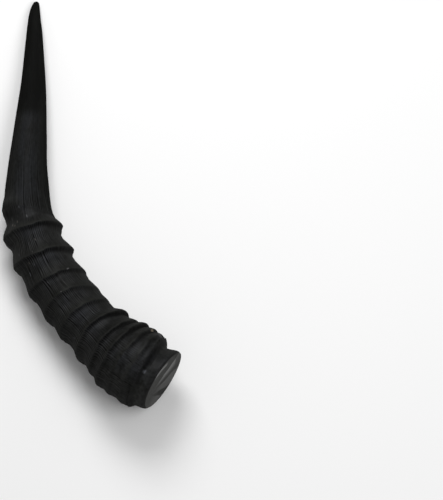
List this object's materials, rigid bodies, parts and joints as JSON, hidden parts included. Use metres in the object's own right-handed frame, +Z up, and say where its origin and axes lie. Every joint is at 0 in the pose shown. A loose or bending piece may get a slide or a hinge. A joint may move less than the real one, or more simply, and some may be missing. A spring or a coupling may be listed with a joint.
{
  "type": "antelope horn",
  "caption": "Curved black antelope horn with raised rings, a smooth tapering tip and a flat cut base, lying on its side.",
  "frame": {"origin": "on the surface that the horn lies on, under the middle of its bounding box", "axes": "+Z up; +Y along the horn's length, from the cut base towards the tip; +X towards the side that the cut base points to"},
  "size_m": [0.151, 0.363, 0.0674],
  "materials": {
    "horn": "satin near-black keratin, finely grooved along its length"
  },
  "bodies": {
    "root": {"horn": "horn"}
  },
  "joints": []
}
